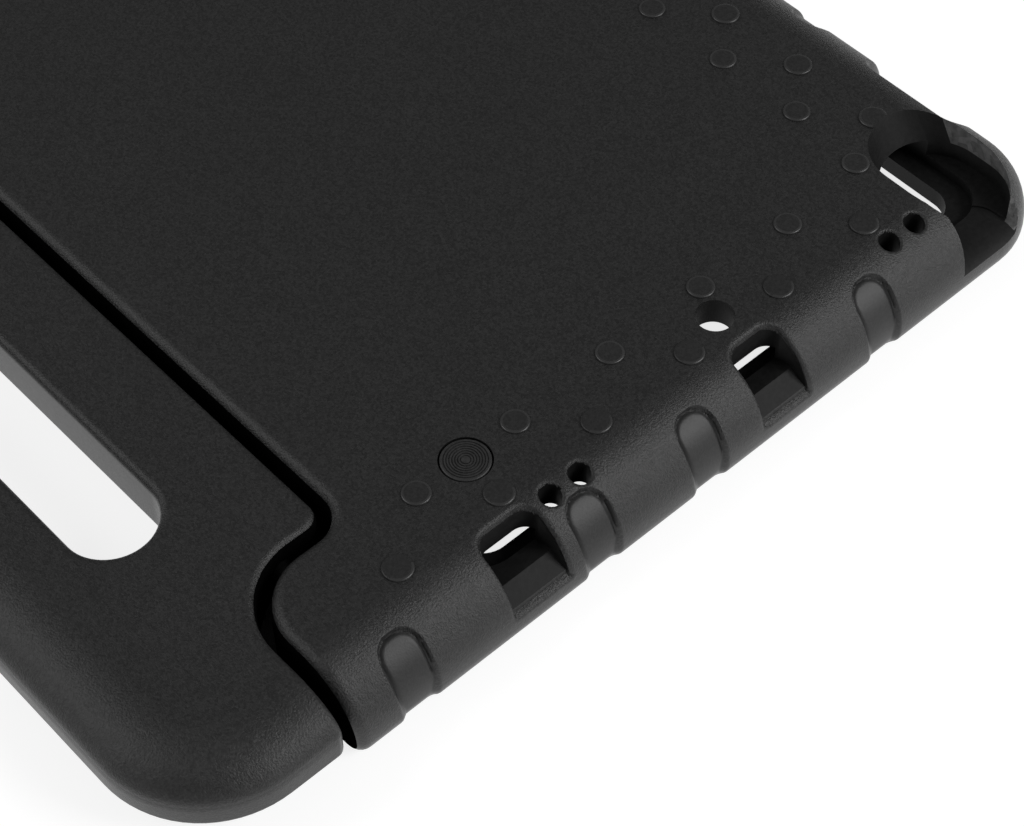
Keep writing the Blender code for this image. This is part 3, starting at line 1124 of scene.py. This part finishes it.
        block.paint(Skin.GROOVE, in_groove_shade)
        block.combine(self.toes(), Join.ADD)
        self.press(block)
        block.paint(Skin.SMOOTH, self._on_channel_floor)
        block.combine(self.discs(finishes), Join.ADD)
        openings = self.openings().dress(finishes)
        roof = lay.bay_top + 0.0002
        openings.paint(Skin.WALL, lambda middle, normal: middle.z < roof or abs(normal.z) < 0.6)
        # The far wall of the camera opening gets the painted light.
        openings.paint(Skin.CUT, self._on_far_wall)
        block.combine(openings, Join.CUT)
        for cutter in (self.blind_holes(), lay.pin_holes()):
            cutter.dress(finishes).paint(Skin.WALL, lambda middle, normal: True)
            block.combine(cutter, Join.CUT)
        block.smooth(38)
        return block.thing

    def _on_far_wall(self, middle: Vector, normal: Vector) -> bool:
        """Whether a face of the cutter makes the far wall of the camera opening.

        Args:
            middle: Middle of the face.
            normal: Its normal.

        Returns:
            Whether it does.
        """
        return normal.y > 0.2 and middle.x > 0.1035 and middle.z > self.layout.bay_top and middle.y > 0.10

    def _on_channel_floor(self, middle: Vector, normal: Vector) -> bool:
        """Whether a face lies on the smooth floor of a channel.

        Args:
            middle: Middle of the face.
            normal: Its normal.

        Returns:
            Whether it does.
        """
        y = middle.y - self.layout.bay_y
        side = self._channel_depth(0, y, abs(middle.x), middle.z) > 0.8 * self.channel_depth
        far = self._channel_depth(1, middle.x, y, middle.z) > 0.8 * self.channel_depth
        return middle.z > self.channel_foot and (side or far)


@dataclass(frozen=True)
class CarryHandle:
    """The folding handle with its tongue between the ears and its hand slot."""

    layout: Layout
    thickness: float = 0.0160
    corner: float = 0.0285
    round_width: float = 0.0160
    round_drop: float = 0.0085
    band: float = 0.0002
    band_fall: float = 0.0007
    front_round: float = 0.0025
    slot_half_length: float = 0.0732
    slot_width: float = 0.0227
    slot_from_edge: float = 0.0274
    slot_round: float = 0.0022

    def build(self, finishes: Sequence[bpy.types.Material]) -> bpy.types.Object:
        """Make the handle.

        Args:
            finishes: Materials, in the order of Skin.

        Returns:
            The finished piece.
        """
        lay = self.layout
        near = lay.handle_edge + lay.bay_y
        bottom = lay.thickness - self.thickness
        deep = self.round_width + self.front_round + 0.001
        low = (-lay.half_length, near, lay.thickness - deep)
        high = (lay.half_length, lay.tip_line + lay.reach + lay.bay_y, lay.thickness)
        body = Moulding.box("handle_moulding", low, high)
        body.pick_edges(lambda a, b: is_upright(a, b) and a.y < near + 1e-5)
        body.bevel(self.corner, 18)
        body.pick_edges(is_level_at(lay.thickness))
        body.bevel(self.round_width, 20)
        straight = lay.thickness - self.round_width

        def lowered(point: Vector) -> Vector:
            moved = point.copy()
            if point.z > straight + 1e-6:
                moved.z = lay.thickness - (lay.thickness - point.z) * self.round_drop / self.round_width
            elif point.z < straight - 1e-6:
                moved.z = bottom
            else:
                moved.z = lay.thickness - self.round_drop
            return moved

        body.move_points(lowered)
        body.pick_edges(is_level_at(bottom))
        body.bevel(self.front_round, 4)
        body.dress(finishes)
        body.combine(lay.tongue(-lay.groove / 2), Join.KEEP_COMMON)
        slot_low = near + self.slot_from_edge
        slot = Moulding.rounded(
            "hand slot",
            (-self.slot_half_length, slot_low, -lay.reach),
            (self.slot_half_length, slot_low + self.slot_width, lay.thickness + lay.reach),
            self.slot_width / 2 - 1e-5,
            16,
        )
        # The slot's wall gets the painted light, paler than the back.
        slot.dress(finishes).paint(Skin.SLOT, lambda middle, normal: True)
        body.combine(slot, Join.CUT)
        body.round_sharp(50, self.slot_round, 5)
        shoulder = lay.ear_line - lay.groove / 2 - self.slot_round + lay.bay_y
        slot_end, slot_top = self.slot_half_length + 0.004, slot_low + self.slot_width + 0.004

        # Faces deep in the hinge groove get the painted shade.
        def in_groove_shade(middle: Vector, normal: Vector) -> bool:
            if abs(normal.z) > 0.6 or middle.y < shoulder:
                return False
            if abs(middle.x) < slot_end and middle.y < slot_top:
                return False
            return normal.y > 0.8 or abs(middle.x) < lay.tongue_half_width + lay.ear_round

        body.paint(Skin.GROOVE, in_groove_shade)
        low_band, high_band = bottom + self.front_round, lay.thickness - self.round_drop
        limit = lay.ear_line + lay.bay_y - 0.004
        body.pick_faces(
            lambda middle, normal: abs(normal.z) < 0.05
            and low_band - 1e-4 < middle.z < high_band + 1e-4
            and middle.y < limit
        )
        fatten = {"value": self.band}
        body.edit(lambda: bpy.ops.mesh.extrude_region_shrink_fatten(TRANSFORM_OT_shrink_fatten=fatten))

        def soft_ledge(point: Vector) -> Vector:
            moved = point.copy()
            if abs(point.z - high_band) < 1e-4 and self._beyond(point) > self.band / 2:
                moved.z -= self.band_fall
            return moved

        body.move_points(soft_ledge)
        body.combine(lay.pin_holes().dress(finishes), Join.CUT)
        body.smooth(38)
        return body.thing

    def _beyond(self, point: Vector) -> float:
        """Distance of a place from the handle's outer outline.

        Args:
            point: The place.

        Returns:
            The distance, negative inside the outline.
        """
        lay = self.layout
        px = abs(point.x) - (lay.half_length - self.corner)
        py = lay.handle_edge + lay.bay_y + self.corner - point.y
        if px > 0.0 and py > 0.0:
            return math.hypot(px, py) - self.corner
        return max(px, py) - self.corner


def linear(code: str) -> tuple[float, float, float, float]:
    """Linear colour of an sRGB hex code.

    Args:
        code: Six hex digits.

    Returns:
        Red, green, blue and alpha for a colour socket.
    """
    channels = [int(code[place : place + 2], 16) / 255 for place in (0, 2, 4)]
    straight = [c / 12.92 if c <= 0.04045 else ((c + 0.055) / 1.055) ** 2.4 for c in channels]
    return (*straight, 1.0)


def add_node(
    tree: bpy.types.NodeTree, kind: str, inputs: dict[str, object] | None = None, **settings: object
) -> bpy.types.Node:
    """Add a node with its settings, values and links.

    Args:
        tree: Node tree to add to.
        kind: Class of the node.
        inputs: Value or source socket of each named or numbered input.
        settings: Attributes of the node.

    Returns:
        The new node.
    """
    node = tree.nodes.new(kind)
    for name, value in settings.items():
        setattr(node, name, value)
    for name, value in (inputs or {}).items():
        socket = node.inputs[int(name)] if name.isdigit() else node.inputs[name]
        if isinstance(value, bpy.types.NodeSocket):
            tree.links.new(value, socket)
        else:
            socket.default_value = value
    return node


def calculate(
    tree: bpy.types.NodeTree,
    operation: str,
    first: bpy.types.NodeSocket,
    second: bpy.types.NodeSocket | float,
) -> bpy.types.NodeSocket:
    """Do a sum with two numbers.

    Args:
        tree: Node tree to add to.
        operation: Name of the sum to do.
        first: First number.
        second: Second number.

    Returns:
        The result.
    """
    return add_node(tree, "ShaderNodeMath", {"0": first, "1": second}, operation=operation).outputs[0]


def ramp(
    tree: bpy.types.NodeTree,
    value: bpy.types.NodeSocket,
    ends: tuple[float, float],
    results: tuple[float, float],
) -> bpy.types.NodeSocket:
    """Map one range of a number to another, held at both ends.

    Args:
        tree: Node tree to add to.
        value: The number.
        ends: Ends of its range.
        results: What each end becomes.

    Returns:
        The mapped number.
    """
    names = ("From Min", "From Max", "To Min", "To Max")
    inputs = dict(zip(names, (*ends, *results)), Value=value)
    return add_node(tree, "ShaderNodeMapRange", inputs).outputs["Result"]


def cells(
    tree: bpy.types.NodeTree, where: bpy.types.NodeSocket, size: float, **settings: object
) -> bpy.types.Node:
    """Scatter irregular cells.

    Args:
        tree: Node tree to add to.
        where: Place on the piece.
        size: Size of a cell in metres.
        settings: Attributes of the node.

    Returns:
        The texture node.
    """
    inputs = {"Vector": where, "Scale": 1 / size, "Randomness": 1.0}
    return add_node(tree, "ShaderNodeTexVoronoi", inputs, **settings)


def times(
    tree: bpy.types.NodeTree, colour: bpy.types.NodeSocket, factor: bpy.types.NodeSocket
) -> bpy.types.NodeSocket:
    """Darken or lighten a colour.

    Args:
        tree: Node tree to add to.
        colour: The colour.
        factor: What it is multiplied by.

    Returns:
        The new colour.
    """
    inputs = {"Fac": 1.0, "Color1": colour, "Color2": factor}
    return add_node(tree, "ShaderNodeMixRGB", inputs, blend_type="MULTIPLY").outputs[0]


@dataclass(frozen=True)
class FoamFinish:
    """Closed-cell EVA foam, moulded in a grained tool: near-black, dull, with a fine pebble.

    The grain is drawn 0.45 mm across, nearly two pixels of the photograph's frame.
    """

    name: str
    colour: str
    light_colour: str
    roughness: float
    side_roughness: float
    specular: float
    grain_mm: float
    grain_height_mm: float
    slope_gain: float = 1.0
    shade: float = 0.0
    pits: bool = False

    def make(self) -> bpy.types.Material:
        """Build the material.

        Returns:
            The new material.
        """
        finish = bpy.data.materials.new(self.name)
        finish.use_nodes = True
        tree = finish.node_tree
        tree.nodes.clear()
        place = add_node(tree, "ShaderNodeTexCoord")
        where = place.outputs["Object"]
        grain = cells(tree, where, self.grain_mm * MM, feature="SMOOTH_F1")
        fine = add_node(
            tree,
            "ShaderNodeTexNoise",
            {"Vector": where, "Scale": 1 / (0.6 * self.grain_mm * MM), "Detail": 3.0, "Roughness": 0.65},
        )
        relief = calculate(tree, "ADD", grain.outputs["Distance"], fine.outputs["Fac"])
        level = add_node(tree, "ShaderNodeSeparateXYZ", {"Vector": place.outputs["Normal"]}).outputs["Z"]
        slope = ramp(tree, level, (0.99, 0.7), (1.0, self.slope_gain))
        side = ramp(tree, level, (0.1, 0.45), (0.3, 1.0))
        height = calculate(tree, "MULTIPLY", relief, calculate(tree, "MULTIPLY", slope, side))
        dullness = ramp(tree, level, (0.1, 0.5), (self.side_roughness, self.roughness))
        bump = add_node(
            tree,
            "ShaderNodeBump",
            {"Strength": 1.0, "Distance": self.grain_height_mm * MM, "Height": height},
        )
        shader = add_node(
            tree,
            "ShaderNodeBsdfPrincipled",
            {
                "Base Color": self._colour(tree, where, relief),
                "Roughness": dullness,
                "Specular IOR Level": self.specular,
                "IOR": 1.48,
                "Normal": bump.outputs["Normal"],
            },
        )
        add_node(tree, "ShaderNodeOutputMaterial", {"Surface": shader.outputs["BSDF"]})
        return finish

    def _colour(
        self, tree: bpy.types.NodeTree, where: bpy.types.NodeSocket, relief: bpy.types.NodeSocket
    ) -> bpy.types.NodeSocket:
        """Cloudy black with a random speckle, and painted shade: darker between the pebbles and in the pits,
        which are dots of colour only.

        Args:
            tree: Node tree of the material.
            where: Place on the piece.
            relief: Height of the grain.

        Returns:
            The colour.
        """
        cloud = add_node(tree, "ShaderNodeTexNoise", {"Vector": where, "Scale": 45.0, "Detail": 3.0})
        tint = add_node(
            tree,
            "ShaderNodeMixRGB",
            {"Fac": cloud.outputs["Fac"], "Color1": linear(self.colour), "Color2": linear(self.light_colour)},
        )
        chance = add_node(
            tree,
            "ShaderNodeSeparateColor",
            {"Color": cells(tree, where, 1.3 * self.grain_mm * MM).outputs["Color"]},
        )
        speckle = calculate(tree, "ADD", relief, chance.outputs["Red"])
        shade = ramp(tree, speckle, (0.8, 2.1), (1.0 - self.shade, 1.0 + self.shade))
        grained = times(tree, tint.outputs[0], shade)
        if not self.pits:
            return grained
        pits = cells(tree, where, 4.0 * MM)
        return times(tree, grained, ramp(tree, pits.outputs["Distance"], (0.05, 0.11), (0.15, 1.0)))


@dataclass(frozen=True)
class Studio:
    """Pale table, plain soft light and the camera."""

    lens: float = 87.68
    place: Box = (0.3704, -0.2545, 0.4772)
    right: Box = (0.67432, 0.73836, -0.01089)
    forward: Box = (-0.46402, 0.41221, -0.78407)
    floor_lift: float = 0.8
    surround: float = 0.22

    def camera(self) -> None:
        """Set the camera at the photograph's viewing angle."""
        data = bpy.data.cameras.new("camera")
        data.lens = self.lens
        data.sensor_width = 36.0
        data.clip_start = 0.01
        data.clip_end = 20.0
        camera = bpy.data.objects.new("camera", data)
        bpy.context.scene.collection.objects.link(camera)
        forward = Vector(self.forward).normalized()
        right = Vector(self.right)
        right = (right - forward * right.dot(forward)).normalized()
        up = right.cross(forward)
        turn = Matrix((right, up, -forward)).transposed()
        camera.matrix_world = Matrix.Translation(self.place) @ turn.to_4x4()
        bpy.context.scene.camera = camera

    def floor(self) -> None:
        """Lay the white table, which keeps the case's shadow, under it."""
        deselect_all()
        bpy.ops.mesh.primitive_plane_add(size=40.0, location=(0.0, 0.0, -0.0005))
        table = bpy.context.object
        table.name = "table"
        finish = bpy.data.materials.new("white table")
        finish.use_nodes = True
        tree = finish.node_tree
        tree.nodes.clear()
        rays = add_node(tree, "ShaderNodeLightPath")
        seen = calculate(tree, "MAXIMUM", rays.outputs["Is Camera Ray"], rays.outputs["Is Glossy Ray"])
        seen = calculate(tree, "MAXIMUM", seen, rays.outputs["Is Transmission Ray"])
        lift = calculate(tree, "MULTIPLY", seen, self.floor_lift)
        diffuse = add_node(tree, "ShaderNodeBsdfDiffuse", {"Color": linear("9c9c9c")})
        glow = add_node(tree, "ShaderNodeEmission", {"Color": (1.0, 1.0, 1.0, 1.0), "Strength": lift})
        shaders = {"0": diffuse.outputs["BSDF"], "1": glow.outputs["Emission"]}
        both = add_node(tree, "ShaderNodeAddShader", shaders)
        add_node(tree, "ShaderNodeOutputMaterial", {"Surface": both.outputs["Shader"]})
        table.data.materials.append(finish)

    def world(self) -> None:
        """Even white surround, dim enough that a colour renders about as written."""
        world = bpy.data.worlds.new("studio")
        bpy.context.scene.world = world
        world.use_nodes = True
        tree = world.node_tree
        tree.nodes.clear()
        plain = add_node(tree, "ShaderNodeBackground", {"Color": linear("ffffff"), "Strength": self.surround})
        add_node(tree, "ShaderNodeOutputWorld", {"Surface": plain.outputs[0]})

    def lamp(self, name: str, place: Box, target: Box, size: float, power: float) -> None:
        """Hang a soft square lamp.

        Args:
            name: Name of the lamp.
            place: Where it hangs.
            target: Where it points.
            size: Length of its side.
            power: Power in watts.
        """
        data = bpy.data.lights.new(name, "AREA")
        data.shape = "SQUARE"
        data.size = size
        data.energy = power
        lamp = bpy.data.objects.new(name, data)
        bpy.context.scene.collection.objects.link(lamp)
        lamp.location = place
        aim = Vector(target) - Vector(place)
        lamp.rotation_mode = "QUATERNION"
        lamp.rotation_quaternion = aim.to_track_quat("-Z", "Y")

    def build(self) -> None:
        """Set up the whole studio."""
        self.camera()
        self.floor()
        self.world()
        self.lamp("key", (1.2, 0.7, 0.95), (0.1, 0.03, 0.0), 0.8, 17.0)
        self.lamp("fill", (-0.75, -0.9, 1.05), (0.0, 0.0, 0.0), 0.8, 7.5)
        bpy.context.scene.view_settings.view_transform = "Standard"


@dataclass(frozen=True)
class Plug:
    """Round insert that closes a hole in the back, with fine turned rings."""

    layout: Layout
    radius: float = 0.0061
    thickness: float = 0.0040
    chamfer: float = 0.0004
    rings: int = 7
    ring_depth: float = 0.00025

    def build(self, finish: bpy.types.Material) -> bpy.types.Object:
        """Make the plug.

        Args:
            finish: Material of the plug.

        Returns:
            The finished piece.
        """
        lay = self.layout
        x, y = lay.plug_place
        centre = (x, y + lay.bay_y, lay.thickness - self.thickness / 2)
        plug = Moulding.round_bar("blanking_plug_moulding", centre, self.radius, self.thickness, 64)
        plug.pick_edges(is_level_at(lay.thickness))
        plug.bevel(self.chamfer, 3)
        plug.pick_faces(lambda middle, normal: normal.z > 0.99)
        pitch = (self.radius - self.chamfer) / (self.rings + 1)

        def ring() -> None:
            bpy.ops.mesh.inset(thickness=pitch * 0.45, use_even_offset=True)
            bpy.ops.mesh.inset(thickness=pitch * 0.12, depth=-self.ring_depth, use_even_offset=True)
            bpy.ops.mesh.inset(thickness=pitch * 0.25, use_even_offset=True)
            bpy.ops.mesh.inset(thickness=pitch * 0.12, depth=self.ring_depth, use_even_offset=True)

        plug.edit(*[ring] * self.rings)
        plug.dress([finish])
        plug.smooth(30)
        return plug.thing


def main() -> None:
    """Build the studio and every piece, and put each on its body."""
    logging.basicConfig(level=logging.INFO, format="%(name)s: %(message)s")
    layout = Layout()
    Studio().build()
    # Closed-cell foam from a grained tool: near black, with a dull sheen that breaks up into fine points; its
    # colour speckle is random tone with painted shade in the hollows of the grain.
    pebbled = FoamFinish(
        "pebbled foam", "181818", "1e1e1e",
        roughness=0.46, side_roughness=0.33, specular=0.55, grain_mm=0.45,
        grain_height_mm=0.085, slope_gain=1.5, shade=0.75,
    ).make()
    # The same foam where the tool is polished, in channels and on discs: an even, slightly brighter sheen.
    smooth = FoamFinish(
        "smooth foam", "191919", "202020",
        roughness=0.5, side_roughness=0.36, specular=0.5, grain_mm=0.45,
        grain_height_mm=0.02, slope_gain=1.2, shade=0.4,
    ).make()
    # The foam inside openings: little light gets in, so it looks flat and almost black.
    wall = FoamFinish(
        "foam wall", "0e0e0e", "161616",
        roughness=0.6, side_roughness=0.6, specular=0.25, grain_mm=0.9,
        grain_height_mm=0.02, shade=0.35,
    ).make()
    # The foam deep in the hinge groove: painted shade, plain black with no sheen at all, where the walls
    # would otherwise catch the lamps.
    groove = FoamFinish(
        "shaded foam", "040404", "070707",
        roughness=1.0, side_roughness=1.0, specular=0.0, grain_mm=0.9,
        grain_height_mm=0.02, shade=0.2,
    ).make()
    # The raised edge of each disc: a painted highlight, a thin paler ring where the edge catches the light.
    rim = FoamFinish(
        "disc rim painted highlight", "242424", "303030",
        roughness=0.4, side_roughness=0.4, specular=0.6, grain_mm=0.6,
        grain_height_mm=0.01, shade=0.1,
    ).make()
    # The wall of the hand slot, paler in the photograph than the back, with a few dark pits.
    # Painted light: its paler grey stands for the white table's light on the wall, and the dark pits are
    # painted shade.
    slot = FoamFinish(
        "foam slot wall", "343434", "404040",
        roughness=0.4, side_roughness=0.4, specular=0.6, grain_mm=0.9,
        grain_height_mm=0.02, shade=0.3, pits=True,
    ).make()
    # The foam of the far wall beside the camera opening: painted light, greyer where the front light falls on
    # it, with a coarser, matt grain.
    cut = FoamFinish(
        "camera wall painted light", "4e4e4e", "6c6c6c",
        roughness=0.6, side_roughness=0.6, specular=0.5, grain_mm=1.6,
        grain_height_mm=0.15, shade=0.5,
    ).make()
    # The plug of the same foam, with fine rings: slightly paler than the back around it.
    turned = FoamFinish(
        "turned foam", "222222", "2a2a2a",
        roughness=0.5, side_roughness=0.5, specular=0.5, grain_mm=0.6,
        grain_height_mm=0.01, shade=0.3,
    ).make()
    # The hidden pins, taken to be moulded nylon: black with hardly any relief.
    black = FoamFinish(
        "black nylon", "070707", "0a0a0a",
        roughness=0.5, side_roughness=0.5, specular=0.3, grain_mm=0.6,
        grain_height_mm=0.004, shade=0.1,
    ).make()
    finishes = (pebbled, smooth, wall, groove, rim, slot, cut)

    body = CaseBody(layout).build(finishes)
    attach(body, "case")
    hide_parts("case_body")
    LOG.info("%s: %d faces", body.name, len(body.data.polygons))

    handle = CarryHandle(layout).build(finishes)
    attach(handle, "handle")
    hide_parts("handle")
    LOG.info("%s: %d faces", handle.name, len(handle.data.polygons))

    plug = Plug(layout).build(turned)
    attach(plug, "case")
    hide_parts("blanking_plug")
    LOG.info("%s: %d faces", plug.name, len(plug.data.polygons))

    for name in ("hinge_pin_left", "hinge_pin_right"):
        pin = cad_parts[name]
        pin.data.materials.clear()
        pin.data.materials.append(black)


if __name__ == "__main__":
    main()
